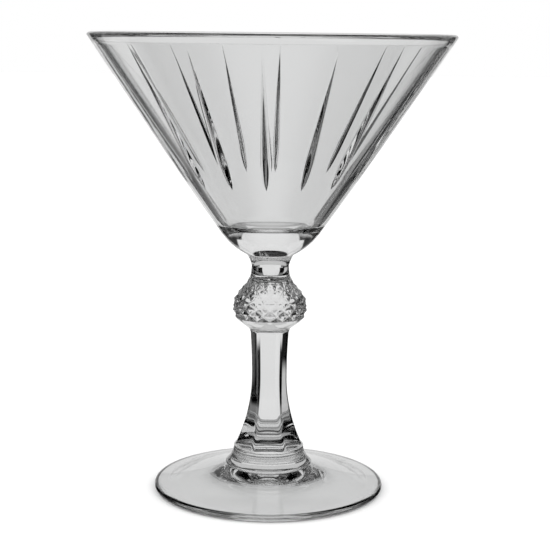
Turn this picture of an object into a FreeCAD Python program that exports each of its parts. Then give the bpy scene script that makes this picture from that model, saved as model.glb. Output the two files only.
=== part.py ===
import FreeCAD, Part
import math
import os

from FreeCAD import Vector

# Martini glass in pressed and cut clear glass. Millimetres, +Z up, the axis of the
# glass on the Z axis and the table at z = 0. The pieces lie face to face on flat
# planes square to the axis, where the hot glass was fused.

# ---------------- driving dimensions ----------------
# heights of the planes where one piece ends and the next begins
Z_PAD = 8.1            # foot to stem pad
Z_STEM = 14.2          # stem pad to stem
Z_KNOP = 52.2          # stem to knop
Z_NECK = 71.4          # knop to neck collar
Z_BASE = 77.3          # neck collar to bowl base
Z_BOWL = 85.0          # bowl base to bowl
Z_TOP = 147.3          # top of the lip

# bowl
RIM_R = 57.9           # outer radius just under the lip
LIP_H = 0.95           # height of the rounded lip
BEND_R, BEND_Z = 29.6, 104.0   # the outer wall changes slope a little here
SEAT_R = 16.3          # outer radius at the shoulder
CAVITY_Z = 87.0        # floor of the cavity
CAVITY_R = 13.6        # radius of the cavity at its floor, before the fillet
CAVITY_SLOPE = 0.695   # radius gained per millimetre of height inside
CAVITY_FILLET = 1.6

# cuts on the bowl, each made by the vee edge of a grinding wheel
CUTS = 16
CUT_LOW, CUT_HIGH = 101.5, 139.0   # heights of the two pointed ends
CUT_DEPTH = 1.0
CUT_HALF_ANGLE = 50.0  # degrees, half of the vee
CUT_TURN = -3.0        # degrees, first cut left of the front

# bowl base and neck collar
BASE_MID = (12.9, 81.0)
COLLAR_TOP_R = 7.6
COLLAR_R = 6.0
COLLAR_Z = 73.6        # where the concave fillet ends

# knop
DIAMONDS = 16          # round the knop
DIAMOND_LOW, DIAMOND_HIGH = 57.0, 68.8
DIAMOND_ROWS = 6       # half rows of the lattice
GROOVE = 0.7           # how far the lattice lies below the points
KNOP_R, KNOP_Z = 12.05, 61.0       # widest place
COLLAR_FOOT_R = 6.2    # radius where the collar meets the knop
KNOP_FOOT_R = 6.4      # radius where the stem meets the knop

# stem, round with six flats that widen on the flare until they meet
STEM_R = 5.66          # slimmest
STEM_WAIST_Z = 37.0
STEM_TOP_R = 6.2
STEM_FLARE_R = 50.5    # radius of the long curve of the flare
SIDES = 6
FLAT_TOP, FLAT_LOW = 0.965, 0.872  # distance of the flats from the axis, in radii

# stem pad, a round rim with a skirt above it that curves in to the stem
PAD_LOW_R = 13.7
PAD_RIM = (14.05, 8.6)         # the rim bulges to here
PAD_EDGE = (13.6, 9.1)         # and rolls in to here
PAD_SKIRT = (12.2, 11.0)       # the skirt passes here
PAD_TOP_R = 11.3

# foot, a shallow bell with walls of nearly even thickness
FOOT_R = 37.3
FOOT_EDGE = 2.4        # thickness at the edge
FOOT_EDGE_ROUND = 1.0
FOOT_MID = (24.8, 4.7)         # the upper side sags a little, through this point
RING_OUT, RING_IN = 35.6, 33.0     # flat ring that stands on the table
KICK_UP = 5.0          # height of the hollow under the middle


# ---------------- helpers ----------------
def pt(r, z):
    return Vector(r, 0, z)


def line(a, b):
    return Part.makeLine(pt(*a), pt(*b))


def arc(a, m, b):
    return Part.Arc(pt(*a), pt(*m), pt(*b)).toShape()


def turned(edges):
    """Solid made by turning a closed outline in the XZ plane about Z."""
    face = Part.Face(Part.Wire(edges))
    return face.revolve(Vector(0, 0, 0), Vector(0, 0, 1), 360)


def polar(r, turn, z):
    a = math.radians(turn)
    return Vector(r * math.cos(a), r * math.sin(a), z)


def spun(shape, turn):
    out = shape.copy()
    out.rotate(Vector(0, 0, 0), Vector(0, 0, 1), turn)
    return out


def rounded_mid(a, corner, b, pull=0.7071):
    """Middle point of a curve that rounds a corner between a and b."""
    mx, mz = (a[0] + b[0]) / 2, (a[1] + b[1]) / 2
    k = 2 * pull - 1
    return (mx + (corner[0] - mx) * k, mz + (corner[1] - mz) * k)


# ---------------- bowl ----------------
def cavity_r(z):
    return CAVITY_R + (z - CAVITY_Z) * CAVITY_SLOPE


lip_low = Z_TOP - LIP_H
lip_out, lip_in = (RIM_R, lip_low), (cavity_r(lip_low), lip_low)
lip_mid = ((lip_out[0] + lip_in[0]) / 2 + 0.2, Z_TOP)
wall_low = (cavity_r(CAVITY_Z + CAVITY_FILLET), CAVITY_Z + CAVITY_FILLET)
floor_out = (CAVITY_R - CAVITY_FILLET, CAVITY_Z)
bowl = turned([
    line((0, Z_BOWL), (SEAT_R, Z_BOWL)),
    line((SEAT_R, Z_BOWL), (BEND_R, BEND_Z)),
    line((BEND_R, BEND_Z), lip_out),
    arc(lip_out, lip_mid, lip_in),
    line(lip_in, wall_low),
    arc(wall_low, rounded_mid(wall_low, (CAVITY_R, CAVITY_Z), floor_out), floor_out),
    line(floor_out, (0, CAVITY_Z)),
    line((0, CAVITY_Z), (0, Z_BOWL)),
])

# The wheel is a thin double cone. Its rim dips CUT_DEPTH into the wall half way
# up the cut, and its radius sets how long the cut is.
slope = math.atan2(RIM_R - BEND_R, lip_low - BEND_Z)
cut_z = (CUT_LOW + CUT_HIGH) / 2
cut_r = BEND_R + (cut_z - BEND_Z) * math.tan(slope)
cut_length = (CUT_HIGH - CUT_LOW) / math.cos(slope)
wheel_r = cut_length ** 2 / (8 * CUT_DEPTH)
outward = Vector(math.cos(slope), 0, -math.sin(slope))
hub = Vector(cut_r, 0, cut_z) + outward * (wheel_r - CUT_DEPTH)
edge_h = 3.0
inner_r = wheel_r - edge_h / math.tan(math.radians(CUT_HALF_ANGLE))
half = Part.makeCone(wheel_r, inner_r, edge_h, hub, Vector(0, 1, 0))
other = Part.makeCone(wheel_r, inner_r, edge_h, hub, Vector(0, -1, 0))
wheel = half.fuse(other)
for i in range(CUTS):
    bowl = bowl.cut(spun(wheel, -90 + CUT_TURN + i * 360.0 / CUTS))

# ---------------- bowl base ----------------
bowl_base = turned([
    line((0, Z_BASE), (COLLAR_TOP_R, Z_BASE)),
    arc((COLLAR_TOP_R, Z_BASE), BASE_MID, (SEAT_R, Z_BOWL)),
    line((SEAT_R, Z_BOWL), (0, Z_BOWL)),
    line((0, Z_BOWL), (0, Z_BASE)),
])

# ---------------- neck collar ----------------
collar_side = rounded_mid((COLLAR_TOP_R, Z_BASE), (COLLAR_R + 0.1, COLLAR_Z + 1.4),
                          (COLLAR_R, COLLAR_Z))
neck_collar = turned([
    line((0, Z_NECK), (COLLAR_FOOT_R, Z_NECK)),
    line((COLLAR_FOOT_R, Z_NECK), (COLLAR_R, COLLAR_Z)),
    arc((COLLAR_R, COLLAR_Z), collar_side, (COLLAR_TOP_R, Z_BASE)),
    line((COLLAR_TOP_R, Z_BASE), (0, Z_BASE)),
    line((0, Z_BASE), (0, Z_NECK)),
])


# ---------------- knop ----------------
def knop_r(z):
    """Smooth outline of the knop through the points of the diamonds."""
    if z < KNOP_Z:
        t = (KNOP_Z - z) / (KNOP_Z - Z_KNOP)
        return KNOP_FOOT_R + (KNOP_R - KNOP_FOOT_R) * (0.5 + 0.5 * math.cos(math.pi * t ** 1.75))
    t = (z - KNOP_Z) / (Z_NECK - KNOP_Z)
    return COLLAR_FOOT_R + (KNOP_R - COLLAR_FOOT_R) * (0.5 + 0.5 * math.cos(math.pi * t)) ** 0.92


def band(z0, z1):
    """Smooth turned band of the knop between two heights."""
    heights = [z0 + (z1 - z0) * i / 6 for i in range(7)]
    side = Part.BSplineCurve()
    side.interpolate([pt(knop_r(z), z) for z in heights])
    a, b = (knop_r(z0), z0), (knop_r(z1), z1)
    return turned([line((0, z0), a), side.toShape(), line(b, (0, z1)), line((0, z1), (0, z0))])


def tri(a, b, c):
    return Part.Face(Part.makePolygon([a, b, c, a]))


step = (DIAMOND_HIGH - DIAMOND_LOW) / DIAMOND_ROWS
pitch = 360.0 / DIAMONDS


def lattice(row, col):
    """Corner of the lattice; col counts half pitches. Odd sums are raised points."""
    z = DIAMOND_LOW + row * step
    deep = GROOVE if (row + col) % 2 == 0 else 0.0
    return polar(knop_r(z) - deep, col * pitch / 2 - 90, z)


faces = []
for row in range(DIAMOND_ROWS + 1):
    for col in range(1 - row % 2, 2 * DIAMONDS, 2):
        tip = lattice(row, col)
        left, right = lattice(row, col - 1), lattice(row, col + 1)
        for other_row in (row - 1, row + 1):
            if 0 <= other_row <= DIAMOND_ROWS:
                end = lattice(other_row, col)
                faces += [tri(tip, left, end), tri(tip, end, right)]
for row in (0, DIAMOND_ROWS):
    ring = [lattice(row, col) for col in range(2 * DIAMONDS)]
    faces.append(Part.Face(Part.makePolygon(ring + ring[:1])))
diamonds = Part.makeSolid(Part.makeShell(faces))
if diamonds.Volume < 0:
    diamonds.reverse()
knop = diamonds.fuse([band(Z_KNOP, DIAMOND_LOW), band(DIAMOND_HIGH, Z_NECK)])


# ---------------- stem ----------------
def stem_r(z):
    """Radius of the round envelope of the stem."""
    if z >= STEM_WAIST_Z:
        t = (z - STEM_WAIST_Z) / (Z_KNOP - STEM_WAIST_Z)
        return STEM_R + (STEM_TOP_R - STEM_R) * t * t
    drop = STEM_WAIST_Z - z
    return STEM_R + STEM_FLARE_R - math.sqrt(STEM_FLARE_R ** 2 - drop ** 2)


def flat_r(z):
    """Distance of the flats from the axis."""
    t = min(1.0, (z - Z_STEM) / (STEM_WAIST_Z - Z_STEM))
    return stem_r(z) * (FLAT_LOW + (FLAT_TOP - FLAT_LOW) * t * t * (3 - 2 * t))


def stem_side(radius, sign):
    """Side of a stem outline: two arcs up the flare, then one up the slim part."""
    z_mid = (Z_STEM + STEM_WAIST_Z) / 2
    heights = [Z_STEM, (Z_STEM + z_mid) / 2, z_mid, (z_mid + STEM_WAIST_Z) / 2,
               STEM_WAIST_Z, (STEM_WAIST_Z + Z_KNOP) / 2, Z_KNOP]
    p = [(sign * radius(z), z) for z in heights]
    return [arc(p[0], p[1], p[2]), arc(p[2], p[3], p[4]), arc(p[4], p[5], p[6])]


def level(r, z):
    return line((-r, z), (r, z))


slab_edges = stem_side(flat_r, 1) + stem_side(flat_r, -1)
slab_edges += [level(flat_r(Z_STEM), Z_STEM), level(flat_r(Z_KNOP), Z_KNOP)]
slab_face = Part.Face(Part.Wire(Part.sortEdges(slab_edges)[0]))
slab_face.translate(Vector(0, -20, 0))
slab = spun(slab_face.extrude(Vector(0, 40, 0)), 90)
low, high = (stem_r(Z_STEM), Z_STEM), (stem_r(Z_KNOP), Z_KNOP)
stem = turned(stem_side(stem_r, 1) + [line(high, (0, Z_KNOP)), line((0, Z_KNOP), (0, Z_STEM)),
                                      line((0, Z_STEM), low)])
for i in range(SIDES // 2):
    stem = stem.common(spun(slab, i * 360.0 / SIDES))

# ---------------- stem pad ----------------
stem_pad = turned([
    line((0, Z_PAD), (PAD_LOW_R, Z_PAD)),
    arc((PAD_LOW_R, Z_PAD), PAD_RIM, PAD_EDGE),
    arc(PAD_EDGE, PAD_SKIRT, (PAD_TOP_R, Z_STEM)),
    line((PAD_TOP_R, Z_STEM), (0, Z_STEM)),
    line((0, Z_STEM), (0, Z_PAD)),
])

# ---------------- foot ----------------
edge_in = (FOOT_R - FOOT_EDGE_ROUND, FOOT_EDGE)
toe = (RING_OUT + 0.8, 0.25)
hollow_r = (RING_IN ** 2 + KICK_UP ** 2) / (2 * KICK_UP)
hollow_turn = math.asin(RING_IN / hollow_r) / 2
hollow_mid = (hollow_r * math.sin(hollow_turn),
              KICK_UP - hollow_r * (1 - math.cos(hollow_turn)))
foot = turned([
    line((0, Z_PAD), (PAD_LOW_R, Z_PAD)),
    arc((PAD_LOW_R, Z_PAD), FOOT_MID, edge_in),
    arc(edge_in, (FOOT_R, FOOT_EDGE - FOOT_EDGE_ROUND), toe),
    arc(toe, (RING_OUT + 0.45, 0.06), (RING_OUT, 0)),
    line((RING_OUT, 0), (RING_IN, 0)),
    arc((RING_IN, 0), hollow_mid, (0, KICK_UP)),
    line((0, KICK_UP), (0, Z_PAD)),
])

# ---------------- one STEP file for each piece ----------------
os.makedirs("parts", exist_ok=True)
pieces = {
    "bowl": bowl,
    "bowl_base": bowl_base,
    "neck_collar": neck_collar,
    "knop": knop,
    "stem": stem,
    "stem_pad": stem_pad,
    "foot": foot,
}
for name, shape in pieces.items():
    solid = shape.Solids[0]
    print(name, shape.isValid(), len(shape.Solids), len(shape.Faces), round(solid.Volume, 1))
    solid.exportStep("parts/" + name + ".step")
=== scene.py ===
import math

import bpy
from mathutils import Matrix, Vector


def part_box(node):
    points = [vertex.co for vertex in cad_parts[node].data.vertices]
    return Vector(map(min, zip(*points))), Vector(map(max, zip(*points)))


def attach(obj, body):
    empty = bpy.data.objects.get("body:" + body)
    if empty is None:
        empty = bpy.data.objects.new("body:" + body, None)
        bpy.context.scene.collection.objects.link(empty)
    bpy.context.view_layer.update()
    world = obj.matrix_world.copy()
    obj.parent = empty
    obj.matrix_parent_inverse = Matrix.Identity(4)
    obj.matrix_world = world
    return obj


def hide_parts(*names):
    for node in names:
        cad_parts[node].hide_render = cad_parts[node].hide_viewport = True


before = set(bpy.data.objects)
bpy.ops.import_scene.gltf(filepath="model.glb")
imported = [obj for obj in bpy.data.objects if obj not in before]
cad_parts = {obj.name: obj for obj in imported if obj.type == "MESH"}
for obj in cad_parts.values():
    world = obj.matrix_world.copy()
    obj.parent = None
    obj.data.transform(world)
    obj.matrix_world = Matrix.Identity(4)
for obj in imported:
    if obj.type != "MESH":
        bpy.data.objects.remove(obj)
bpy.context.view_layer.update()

MM = 0.001

# ---------------------------------------------------------------- sizes, in metres
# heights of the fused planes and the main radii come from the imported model
Z_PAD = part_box("stem_pad")[0][2]
Z_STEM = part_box("stem")[0][2]
Z_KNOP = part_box("knop")[0][2]
Z_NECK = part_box("neck_collar")[0][2]
Z_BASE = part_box("bowl_base")[0][2]
Z_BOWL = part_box("bowl")[0][2]
Z_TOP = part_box("bowl")[1][2]
RIM_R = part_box("bowl")[1][0]
SEAT_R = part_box("bowl_base")[1][0]
FOOT_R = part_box("foot")[1][0]

# bowl
LIP_H = 0.95 * MM
BEND_R, BEND_Z = 29.6 * MM, 104.0 * MM
CAVITY_Z, CAVITY_R = 87.0 * MM, 13.6 * MM
CAVITY_SLOPE = 0.695
CAVITY_FILLET = 1.6 * MM
CUTS = 16
CUT_LOW, CUT_HIGH = 101.0 * MM, 146.0 * MM
CUT_HALF_WIDTH = 1.7 * MM
CUT_STEPS, PANEL_STEPS = 6, 20  # mesh columns on half a cut and between two cuts
CUT_MIN_HALF = 0.25             # degrees; least half angle that the columns of a cut span
PLAIN_HALF = 0.9                # the half angle they span on the lip, inside and below
LIP_STEPS = 10                  # mesh rings over the lip
CUT_WIDEST = 0.80               # share of the length, from the top
CUT_TIP = 0.15                  # share of the full width close under the upper tip
CUT_UNEVEN = 0.25               # how much the depth varies from cut to cut, as a share
CUT_DEPTH_TOP, CUT_DEPTH_LOW = 0.14, 0.75   # depth as a share of the half width
CUT_TURN = -93.0                # degrees; the front of the glass is at -90

# base, collar, knop
BASE_MID = (12.9 * MM, 81.0 * MM)
COLLAR_TOP_R = 7.6 * MM
COLLAR_R, COLLAR_Z = 6.0 * MM, 73.6 * MM
COLLAR_CORNER = (COLLAR_R + 0.1 * MM, COLLAR_Z + 1.4 * MM)  # what its fillet rounds
COLLAR_FOOT_R = 6.2 * MM
KNOP_R, KNOP_Z = 12.05 * MM, 61.0 * MM
KNOP_FOOT_R = 6.4 * MM
DIAMONDS = 16
DIAMOND_LOW, DIAMOND_HIGH = 57.0 * MM, 68.8 * MM
DIAMOND_ROWS = 6
GROOVE = 0.7 * MM
BAND_GAP = 0.05 * MM             # between the diamonds and the first smooth ring

# stem, pad, foot
STEM_R, STEM_TOP_R = 5.66 * MM, 6.2 * MM
STEM_WAIST_Z = 37.0 * MM
STEM_FLARE_R = 50.5 * MM
SIDES = 6
FLAT_TOP, FLAT_LOW = 0.965, 0.872   # flats' distance from the axis, in corner radii
CORNER_POWER = 60               # higher is a sharper edge between a flat and the round
PAD_LOW_R = 13.7 * MM
PAD_RIM = (14.05 * MM, 8.6 * MM)
PAD_EDGE = (13.6 * MM, 9.1 * MM)
PAD_SKIRT = (12.2 * MM, 11.0 * MM)
PAD_TOP_R = 11.3 * MM
FOOT_EDGE = 2.4 * MM
FOOT_EDGE_ROUND = 1.0 * MM
FOOT_MID = (24.8 * MM, 4.7 * MM)
RING_OUT, RING_IN = 35.6 * MM, 33.0 * MM
TOE = (RING_OUT + 0.8 * MM, 0.25 * MM)          # rounding beside the ring
TOE_MID = (RING_OUT + 0.45 * MM, 0.06 * MM)
KICK_UP = 5.0 * MM
HOLLOW_STEPS = 30               # mesh rings under the foot

COLUMNS = 192                   # round pieces; a multiple of 2 * DIAMONDS and of SIDES
SHARP = 28                      # degrees; a steeper fold is shaded as an edge
GLASS, SEAM, UNDERSIDE = 0, 1, 2    # material slots; only the foot has the last


# ---------------------------------------------------------------- mesh helpers
def at(r, degrees, z):
    a = math.radians(degrees)
    return (r * math.cos(a), r * math.sin(a), z)


def even_angles():
    return [-90 + 360 * i / COLUMNS for i in range(COLUMNS)]


def round_ring(r, z):
    return [at(r, a, z) for a in even_angles()]


def solid_of_rings(name, rings, first, last, closing=GLASS):
    """A closed mesh through rings of equal length, from the middle of the underside
    out, up the outside and back in to the axis. rings holds (points, slot), where
    slot is the material of the band that leads to that ring; first and last are the
    two points on the axis, and closing is the slot of the band that leads to last."""
    verts = [first]
    faces, slots = [], []
    count = len(rings[0][0])
    for points, _ in rings:
        verts += points
    verts.append(last)
    end = len(verts) - 1
    for j in range(count):
        k = (j + 1) % count
        faces.append((0, 1 + k, 1 + j))
        slots.append(rings[0][1])
        for i in range(1, len(rings)):
            a, b = 1 + (i - 1) * count, 1 + i * count
            faces.append((a + j, a + k, b + k, b + j))
            slots.append(rings[i][1])
        b = 1 + (len(rings) - 1) * count
        faces.append((b + j, b + k, end))
        slots.append(closing)
    return make_piece(name, verts, faces, slots)


def make_piece(name, verts, faces, slots):
    mesh = bpy.data.meshes.new(name)
    mesh.from_pydata(verts, [], faces)
    mesh.polygons.foreach_set("material_index", slots)
    mesh.shade_smooth()
    mesh.set_sharp_from_angle(angle=math.radians(SHARP))
    mesh.validate()
    piece = bpy.data.objects.new(name, mesh)
    bpy.context.scene.collection.objects.link(piece)
    return piece


def three_point_arc(a, m, b, steps):
    """Points (r, z) from a to b on the circle through a, m and b, both ends in."""
    ax, ay, bx, by, cx, cy = *a, *m, *b
    d = 2 * (ax * (by - cy) + bx * (cy - ay) + cx * (ay - by))
    ux = ((ax**2 + ay**2) * (by - cy) + (bx**2 + by**2) * (cy - ay)
          + (cx**2 + cy**2) * (ay - by)) / d
    uy = ((ax**2 + ay**2) * (cx - bx) + (bx**2 + by**2) * (ax - cx)
          + (cx**2 + cy**2) * (bx - ax)) / d
    radius = math.hypot(ax - ux, ay - uy)
    turns = [math.atan2(y - uy, x - ux) for x, y in (a, m, b)]
    sweep = (turns[2] - turns[0]) % (2 * math.pi)
    if (turns[1] - turns[0]) % (2 * math.pi) > sweep:
        sweep -= 2 * math.pi
    return [(ux + radius * math.cos(turns[0] + sweep * i / steps),
             uy + radius * math.sin(turns[0] + sweep * i / steps)) for i in range(steps + 1)]


def corner_mid(a, corner, b, pull=0.414):
    """Middle point of a curve that rounds a corner between a and b."""
    mx, mz = (a[0] + b[0]) / 2, (a[1] + b[1]) / 2
    return (mx + (corner[0] - mx) * pull, mz + (corner[1] - mz) * pull)


def straight(a, b, steps):
    """Points from a to b in equal steps, both ends in."""
    return [(a[0] + (b[0] - a[0]) * i / steps, a[1] + (b[1] - a[1]) * i / steps)
            for i in range(steps + 1)]


# ---------------------------------------------------------------- bowl
def cut_section(z):
    """Half width and depth of a cut at a height. It is a long leaf that starts thin
    and shallow under the lip and is widest and deepest near its lower end."""
    s = (CUT_HIGH - z) / (CUT_HIGH - CUT_LOW)
    if s <= 0 or s >= 1:
        return 0.0, 0.0
    if s < CUT_WIDEST:
        width = CUT_HALF_WIDTH * (CUT_TIP + (1 - CUT_TIP) * (s / CUT_WIDEST) ** 1.1) * min(1, s / 0.12)
    else:
        width = CUT_HALF_WIDTH * math.sqrt(1 - ((s - CUT_WIDEST) / (1 - CUT_WIDEST)) ** 2)
    ease = min(1.0, s / 0.5)
    ease = ease * ease * (3 - 2 * ease)
    return width, width * (CUT_DEPTH_TOP + (CUT_DEPTH_LOW - CUT_DEPTH_TOP) * ease)


def cut_strength(which):
    """Hand ground, so no two neighbours are quite equally deep; 0 is near the front."""
    return 1 - CUT_UNEVEN * math.cos(1.9 * which)


def bowl_angles(half):
    """Columns of one ring; half is half the angle of a cut, in degrees. The columns
    follow the edges of the cuts, so the edges are clean."""
    pitch = 360 / CUTS
    in_cut = [half * i / CUT_STEPS for i in range(-CUT_STEPS, CUT_STEPS)]
    on_panel = [half + (pitch - 2 * half) * i / PANEL_STEPS for i in range(PANEL_STEPS)]
    return [CUT_TURN + pitch * k + a for k in range(CUTS) for a in in_cut + on_panel]


def wall_ring(r, z, lean):
    """Ring on the outer wall, each cut sunk square to the wall. The sides of a cut
    are polished, so they start flat and are steepest at the crease."""
    width, depth = cut_section(z)
    half = max(math.degrees(width / r), CUT_MIN_HALF)
    points = []
    for i, a in enumerate(bowl_angles(half)):
        which, column = divmod(i, 2 * CUT_STEPS + PANEL_STEPS)
        share = max(0.0, 1 - abs(column - CUT_STEPS) / CUT_STEPS)
        sunk = depth * cut_strength(which) * share ** 2
        points.append(at(r - sunk * math.cos(lean), a, z + sunk * math.sin(lean)))
    return points


def plain_bowl_ring(r, z):
    return [at(r, a, z) for a in bowl_angles(PLAIN_HALF)]


def make_bowl():
    lip_low = Z_TOP - LIP_H
    lean = math.atan2(RIM_R - BEND_R, lip_low - BEND_Z)
    rings = [(plain_bowl_ring(SEAT_R, Z_BOWL), SEAM)]
    lower = straight((SEAT_R, Z_BOWL), (BEND_R, BEND_Z), 22)[1:]
    upper = straight((BEND_R, BEND_Z), (RIM_R, lip_low), 56)[1:]
    rings += [(wall_ring(r, z, lean), GLASS) for r, z in lower + upper]
    inner_r = CAVITY_R + (lip_low - CAVITY_Z) * CAVITY_SLOPE
    middle, reach = (RIM_R + inner_r) / 2, (RIM_R - inner_r) / 2
    for i in range(1, LIP_STEPS + 1):
        turn = math.pi * i / LIP_STEPS
        rings.append((plain_bowl_ring(middle + reach * math.cos(turn),
                                      lip_low + LIP_H * math.sin(turn)), GLASS))
    low_z = CAVITY_Z + CAVITY_FILLET
    low_r = CAVITY_R + CAVITY_FILLET * CAVITY_SLOPE
    floor_r = CAVITY_R - CAVITY_FILLET
    rings += [(plain_bowl_ring(r, z), GLASS)
              for r, z in straight((inner_r, lip_low), (low_r, low_z), 30)[1:]]
    rounding = three_point_arc((low_r, low_z),
                               corner_mid((low_r, low_z), (CAVITY_R, CAVITY_Z),
                                          (floor_r, CAVITY_Z)),
                               (floor_r, CAVITY_Z), 8)
    rings += [(plain_bowl_ring(r, z), GLASS) for r, z in rounding[1:]]
    rings += [(plain_bowl_ring(floor_r * s, CAVITY_Z), GLASS) for s in (0.75, 0.5, 0.25)]
    return solid_of_rings("glass_bowl", rings, (0, 0, Z_BOWL), (0, 0, CAVITY_Z))


# ---------------------------------------------------------------- base and collar
def turned_piece(name, outline, bottom, top):
    """Round piece through (r, z) points, closed by flat discs in the given slots."""
    rings = [(round_ring(*outline[0]), bottom)]
    rings += [(round_ring(r, z), GLASS) for r, z in outline[1:]]
    return solid_of_rings(name, rings, (0, 0, outline[0][1]), (0, 0, outline[-1][1]), top)


def make_bowl_base():
    outline = three_point_arc((COLLAR_TOP_R, Z_BASE), BASE_MID, (SEAT_R, Z_BOWL), 24)
    return turned_piece("glass_bowl_base", outline, SEAM, SEAM)


def make_neck_collar():
    top, low = (COLLAR_TOP_R, Z_BASE), (COLLAR_R, COLLAR_Z)
    mid = corner_mid(top, COLLAR_CORNER, low)
    outline = straight((COLLAR_FOOT_R, Z_NECK), low, 6)[:-1] + three_point_arc(low, mid, top, 14)
    return turned_piece("glass_neck_collar", outline, SEAM, SEAM)


# ---------------------------------------------------------------- knop
def knop_r(z):
    if z < KNOP_Z:
        t = (KNOP_Z - z) / (KNOP_Z - Z_KNOP)
        return KNOP_FOOT_R + (KNOP_R - KNOP_FOOT_R) * (0.5 + 0.5 * math.cos(math.pi * t ** 1.75))
    t = (z - KNOP_Z) / (Z_NECK - KNOP_Z)
    return COLLAR_FOOT_R + (KNOP_R - COLLAR_FOOT_R) * (0.5 + 0.5 * math.cos(math.pi * t)) ** 0.92


def lattice(row, col):
    """Corner of the diamond lattice: even sums lie in the cuts, odd ones stand out."""
    z = DIAMOND_LOW + (DIAMOND_HIGH - DIAMOND_LOW) * row / DIAMOND_ROWS
    deep = GROOVE if (row + col) % 2 == 0 else 0.0
    return Vector(at(knop_r(z) - deep, -90 + col * 180 / DIAMONDS, z))


def facet_point(u, v):
    """Point of the faceted surface at column u and row v, in half pitches."""
    row, col = min(int(v), DIAMOND_ROWS - 1), int(u)
    s, t = u - col, v - row
    a, b = lattice(row, col), lattice(row, col + 1)
    c, d = lattice(row + 1, col), lattice(row + 1, col + 1)
    if (row + col) % 2 == 0:            # the fold runs from a to d
        p = a + (d - c) * s + (c - a) * t if t > s else a + (b - a) * s + (d - b) * t
    else:                               # the fold runs from b to c
        p = a + (b - a) * s + (c - a) * t if s + t < 1 else \
            d + (c - d) * (1 - s) + (b - d) * (1 - t)
    return tuple(p)


def make_knop():
    per = COLUMNS // (2 * DIAMONDS)
    rings = [(stem_ring(Z_KNOP), SEAM), (round_ring(KNOP_FOOT_R, Z_KNOP), GLASS)]
    lower = straight((0, Z_KNOP), (0, DIAMOND_LOW), 14)[1:-1]
    rings += [(round_ring(knop_r(z), z), GLASS) for _, z in lower]
    rings.append((round_ring(knop_r(DIAMOND_LOW), DIAMOND_LOW - BAND_GAP), GLASS))
    for i in range(DIAMOND_ROWS * per + 1):
        rings.append(([facet_point(j / per, i / per) for j in range(COLUMNS)], GLASS))
    rings.append((round_ring(knop_r(DIAMOND_HIGH), DIAMOND_HIGH + BAND_GAP), GLASS))
    upper = straight((0, DIAMOND_HIGH), (0, Z_NECK), 8)[1:]
    rings += [(round_ring(knop_r(z), z), GLASS) for _, z in upper]
    return solid_of_rings("glass_knop", rings, (0, 0, Z_KNOP), (0, 0, Z_NECK), SEAM)


# ---------------------------------------------------------------- stem
def side_r(angle, corner, flat):
    """Radius of the stem's section: a circle with six flats, its edges softened."""
    total = 1.0
    for k in range(SIDES):
        lean = math.cos(math.radians(angle + 90 - 360 * k / SIDES))
        total += (max(0.0, lean) / flat) ** CORNER_POWER
    return corner / total ** (1 / CORNER_POWER)


def flat_share(z):
    """The flats are narrow on the slim part and meet in ridges on the flare."""
    t = min(1.0, max(0.0, (z - Z_STEM) / (STEM_WAIST_Z - Z_STEM)))
    return FLAT_LOW + (FLAT_TOP - FLAT_LOW) * t * t * (3 - 2 * t)


def stem_r(z):
    if z >= STEM_WAIST_Z:
        t = (z - STEM_WAIST_Z) / (Z_KNOP - STEM_WAIST_Z)
        return STEM_R + (STEM_TOP_R - STEM_R) * t * t
    drop = STEM_WAIST_Z - z
    return STEM_R + STEM_FLARE_R - math.sqrt(STEM_FLARE_R ** 2 - drop ** 2)


def stem_ring(z):
    corner = stem_r(z)
    return [at(side_r(a, corner, flat_share(z)), a, z) for a in even_angles()]


def make_stem():
    heights = [z for _, z in straight((0, Z_STEM), (0, Z_KNOP), 60)]
    rings = [(stem_ring(heights[0]), SEAM)]
    rings += [(stem_ring(z), GLASS) for z in heights[1:]]
    return solid_of_rings("glass_stem", rings, (0, 0, Z_STEM), (0, 0, Z_KNOP), SEAM)


# ---------------------------------------------------------------- stem pad and foot
def make_stem_pad():
    outline = three_point_arc((PAD_LOW_R, Z_PAD), PAD_RIM, PAD_EDGE, 12)
    outline += three_point_arc(PAD_EDGE, PAD_SKIRT, (PAD_TOP_R, Z_STEM), 28)[1:]
    rings = [(round_ring(*outline[0]), SEAM)]
    rings += [(round_ring(r, z), GLASS) for r, z in outline[1:]]
    rings.append((stem_ring(Z_STEM), GLASS))
    return solid_of_rings("glass_stem_pad", rings, (0, 0, Z_PAD), (0, 0, Z_STEM), SEAM)


def make_foot():
    hollow_r = (RING_IN ** 2 + KICK_UP ** 2) / (2 * KICK_UP)
    rings = []
    for i in range(1, HOLLOW_STEPS + 1):
        r = RING_IN * i / HOLLOW_STEPS
        sink = hollow_r - math.sqrt(hollow_r ** 2 - r ** 2)
        rings.append((round_ring(r, KICK_UP - sink), UNDERSIDE))
    rings.append((round_ring(RING_OUT, 0.0), GLASS))
    edge_in = (FOOT_R - FOOT_EDGE_ROUND, FOOT_EDGE)
    outline = three_point_arc((RING_OUT, 0.0), TOE_MID, TOE, 5)[1:]
    outline += three_point_arc(TOE, (FOOT_R, FOOT_EDGE - FOOT_EDGE_ROUND), edge_in, 16)[1:]
    outline += three_point_arc(edge_in, FOOT_MID, (PAD_LOW_R, Z_PAD), 40)[1:]
    rings += [(round_ring(r, z), GLASS) for r, z in outline]
    return solid_of_rings("glass_foot", rings, (0, 0, KICK_UP), (0, 0, Z_PAD), SEAM)


# ---------------------------------------------------------------- materials
GLASS_IOR = 1.52
CLEAR_TINT = (0.965, 0.968, 0.968)
FOOT_SHADE_TINT = (0.77, 0.775, 0.775)    # greyer than the rest: painted shade on the foot alone, for the table and contact shadow seen through it


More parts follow.
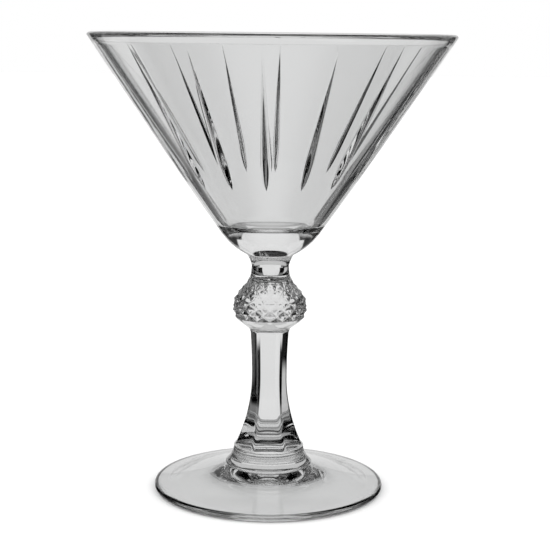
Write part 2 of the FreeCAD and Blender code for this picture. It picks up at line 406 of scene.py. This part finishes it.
def glass_material(name, ripple_scale, ripple_height, tint=CLEAR_TINT, dullest=0.012):
    """Clear soda-lime glass: the long soft ripples of pressed glass as bump, and
    a polish that is a little uneven; dullest is the highest roughness it reaches."""
    material = bpy.data.materials.new(name)
    material.use_nodes = True
    nodes, links = material.node_tree.nodes, material.node_tree.links
    shader = nodes["Principled BSDF"]
    shader.inputs["Base Color"].default_value = (*tint, 1)
    shader.inputs["Transmission Weight"].default_value = 1.0
    shader.inputs["IOR"].default_value = GLASS_IOR
    place = nodes.new("ShaderNodeTexCoord")
    ripple = nodes.new("ShaderNodeTexNoise")
    ripple.inputs["Scale"].default_value = ripple_scale
    ripple.inputs["Detail"].default_value = 1.0
    bump = nodes.new("ShaderNodeBump")
    bump.inputs["Strength"].default_value = 1.0
    bump.inputs["Distance"].default_value = ripple_height
    links.new(place.outputs["Object"], ripple.inputs["Vector"])
    links.new(ripple.outputs["Fac"], bump.inputs["Height"])
    links.new(bump.outputs["Normal"], shader.inputs["Normal"])
    polish = nodes.new("ShaderNodeTexNoise")
    polish.inputs["Scale"].default_value = 900.0
    polish.inputs["Detail"].default_value = 3.0
    spread = nodes.new("ShaderNodeMapRange")
    spread.inputs["From Min"].default_value = 0.35
    spread.inputs["From Max"].default_value = 0.75
    spread.inputs["To Min"].default_value = 0.0
    spread.inputs["To Max"].default_value = dullest
    links.new(place.outputs["Object"], polish.inputs["Vector"])
    links.new(polish.outputs["Fac"], spread.inputs["Value"])
    links.new(spread.outputs["Result"], shader.inputs["Roughness"])
    return material


def seam_material():
    """Where two pieces are fused there is no surface to see, so light goes straight on."""
    material = bpy.data.materials.new("fused_seam")
    material.use_nodes = True
    nodes, links = material.node_tree.nodes, material.node_tree.links
    nodes.remove(nodes["Principled BSDF"])
    clear = nodes.new("ShaderNodeBsdfTransparent")
    links.new(clear.outputs["BSDF"], nodes["Material Output"].inputs["Surface"])
    return material


smooth = glass_material("bowl_glass", 55.0, 0.008 * MM)
pressed = glass_material("pressed_glass", 90.0, 0.012 * MM)
cut = glass_material("cut_glass", 300.0, 0.003 * MM)
# the foot and its underside take the greyer tint: painted shade, not a colour of the glass
shaded_foot_glass = glass_material("shaded_foot_glass", 90.0, 0.012 * MM, FOOT_SHADE_TINT)
shaded_underside_glass = glass_material("shaded_foot_underside", 160.0, 0.02 * MM, FOOT_SHADE_TINT, 0.04)
fused = seam_material()

pieces = {
    "bowl": (make_bowl(), smooth),
    "bowl_base": (make_bowl_base(), pressed),
    "neck_collar": (make_neck_collar(), pressed),
    "knop": (make_knop(), cut),
    "stem": (make_stem(), pressed),
    "stem_pad": (make_stem_pad(), pressed),
    "foot": (make_foot(), shaded_foot_glass),
}
for node, (piece, material) in pieces.items():
    piece.data.materials.append(material)
    piece.data.materials.append(fused)
    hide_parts(node)
    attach(piece, "root")
pieces["foot"][0].data.materials.append(shaded_underside_glass)


# ---------------------------------------------------------------- floor
FLOOR_HALF = 4.0                # metres


def make_floor():
    mesh = bpy.data.meshes.new("floor")
    half = FLOOR_HALF
    mesh.from_pydata([(-half, -half, 0), (half, -half, 0), (half, half, 0), (-half, half, 0)],
                     [], [(0, 1, 2, 3)])
    floor = bpy.data.objects.new("floor", mesh)
    bpy.context.scene.collection.objects.link(floor)
    material = bpy.data.materials.new("pale_floor")
    material.use_nodes = True
    shader = material.node_tree.nodes["Principled BSDF"]
    shader.inputs["Base Color"].default_value = (0.93, 0.93, 0.93, 1)
    shader.inputs["Roughness"].default_value = 0.9
    shader.inputs["Specular IOR Level"].default_value = 0.0
    mesh.materials.append(material)
    # the glass neither mirrors the floor nor shows it behind, only the painted studio
    floor.visible_transmission = False
    floor.visible_glossy = False
    return floor


make_floor()


# ---------------------------------------------------------------- studio
# The studio is painted on the world: white panels and the dark gaps between them,
# which draw the dark lines in the glass. They are placed for the view from the front.
# Azimuth runs from +Y towards +X.
PANELS = [
    # azimuth, half width, low, high elevation, level, softness of the edge
    (0, 25, -6, 14, 0.79, 1.2),     # behind the glass, seen through base and neck
    (-2, 20, -40, -2, 0.79, 1.2),   # behind, seen through bowl and stem
    (0, 31, -9, 5, 0.79, 1.2),      # wide and low, seen through the base
    (0, 50, 12, 42, 0.60, 5.0),     # high and wide, mirrored in the foot
    (34, 2, -22, -6, 0.22, 1.2),    # thin strip that draws a line in the dark edge
    (0, 62, -70, -44, 0.50, 3.0),   # the white table behind
    (0, 62, -44, -28, 0.20, 2.0),   # the far end of the table
    (-49, 11, -38, -12, 0.60, 1.5), # back left; keeps the view from the front right clear
    (-90, 13, -20, 12, 0.70, 1.2),  # left
    (135, 14, -40, -3, 0.70, 1.2),  # front right; behind the glass seen from the back left
    (180, 24, -10, 30, 0.25, 3.0),  # front, weak
]
TOP_LIGHT = (60, 0.9)           # lowest elevation and level of the light overhead
UNDER = (-70, 0.12)             # highest elevation and level of what lies below
CAP_SOFT = 6                    # softness of the edge of both
DARK = 0.001                    # level of the gaps between the panels
FLOOR_WASH = 1.5                # soft even light that only the floor takes


def make_world():
    world = bpy.data.worlds.new("studio")
    bpy.context.scene.world = world
    world.use_nodes = True
    tree = world.node_tree
    nodes, links = tree.nodes, tree.links
    nodes.clear()

    def maths(operation, *values):
        node = nodes.new("ShaderNodeMath")
        node.operation = operation
        for socket, value in zip(node.inputs, values):
            if isinstance(value, (int, float)):
                socket.default_value = value
            else:
                links.new(value, socket)
        return node.outputs[0]

    def step(value, start, end):
        """0 at start, 1 at end, smooth between; start may be the larger."""
        node = nodes.new("ShaderNodeMapRange")
        node.interpolation_type = "SMOOTHSTEP"
        links.new(value, node.inputs["Value"])
        node.inputs["From Min"].default_value = start
        node.inputs["From Max"].default_value = end
        return node.outputs["Result"]

    place = nodes.new("ShaderNodeTexCoord")
    parts = nodes.new("ShaderNodeSeparateXYZ")
    links.new(place.outputs["Generated"], parts.inputs[0])
    azimuth = maths("DEGREES", maths("ARCTAN2", parts.outputs["X"], parts.outputs["Y"]))
    elevation = maths("DEGREES", maths("ARCSINE", parts.outputs["Z"]))
    light = maths("ADD", DARK, 0.0)
    for centre, half, low, high, level, soft in PANELS:
        off = maths("ABSOLUTE", maths("WRAP", maths("SUBTRACT", azimuth, centre), 180, -180))
        across = step(off, half + soft, half - soft)
        up = maths("MULTIPLY", step(elevation, low - soft, low + soft),
                   step(elevation, high + soft, high - soft))
        light = maths("MAXIMUM", light, maths("MULTIPLY", maths("MULTIPLY", across, up), level))
    height, level = TOP_LIGHT
    over = maths("MULTIPLY", step(elevation, height - CAP_SOFT, height + CAP_SOFT), level)
    height, level = UNDER
    under = maths("MULTIPLY", step(elevation, height + CAP_SOFT, height - CAP_SOFT), level)
    light = maths("MAXIMUM", light, maths("MAXIMUM", over, under))
    # the floor takes an even wash, the backdrop is plain white, the glass gets the panels
    path = nodes.new("ShaderNodeLightPath")
    wash = maths("MULTIPLY", path.outputs["Is Diffuse Ray"], FLOOR_WASH)
    seen = maths("MAXIMUM", light, maths("MAXIMUM", wash, path.outputs["Is Camera Ray"]))
    background = nodes.new("ShaderNodeBackground")
    links.new(seen, background.inputs["Color"])
    output = nodes.new("ShaderNodeOutputWorld")
    links.new(background.outputs[0], output.inputs["Surface"])


make_world()
scene = bpy.context.scene
scene.view_settings.view_transform = "Standard"
scene.view_settings.look = "None"
scene.cycles.max_bounces = 32
scene.cycles.transmission_bounces = 32
scene.cycles.glossy_bounces = 12
scene.cycles.transparent_max_bounces = 48


# ---------------------------------------------------------------- camera
LENS, SENSOR = 95.1, 36.0       # millimetres
CAMERA_AT = (0.0, -0.4612, 0.1494)
PITCH, YAW, ROLL = 90 - 9.72, -0.19, 0.6    # degrees; a pitch of 90 looks level


def make_camera():
    data = bpy.data.cameras.new("camera")
    data.sensor_width = SENSOR
    data.lens = LENS
    data.clip_start = 0.01
    camera = bpy.data.objects.new("camera", data)
    scene.collection.objects.link(camera)
    turn = (Matrix.Rotation(math.radians(YAW), 4, "Z")
            @ Matrix.Rotation(math.radians(PITCH), 4, "X")
            @ Matrix.Rotation(math.radians(ROLL), 4, "Z"))
    camera.matrix_world = Matrix.Translation(CAMERA_AT) @ turn
    scene.camera = camera


make_camera()
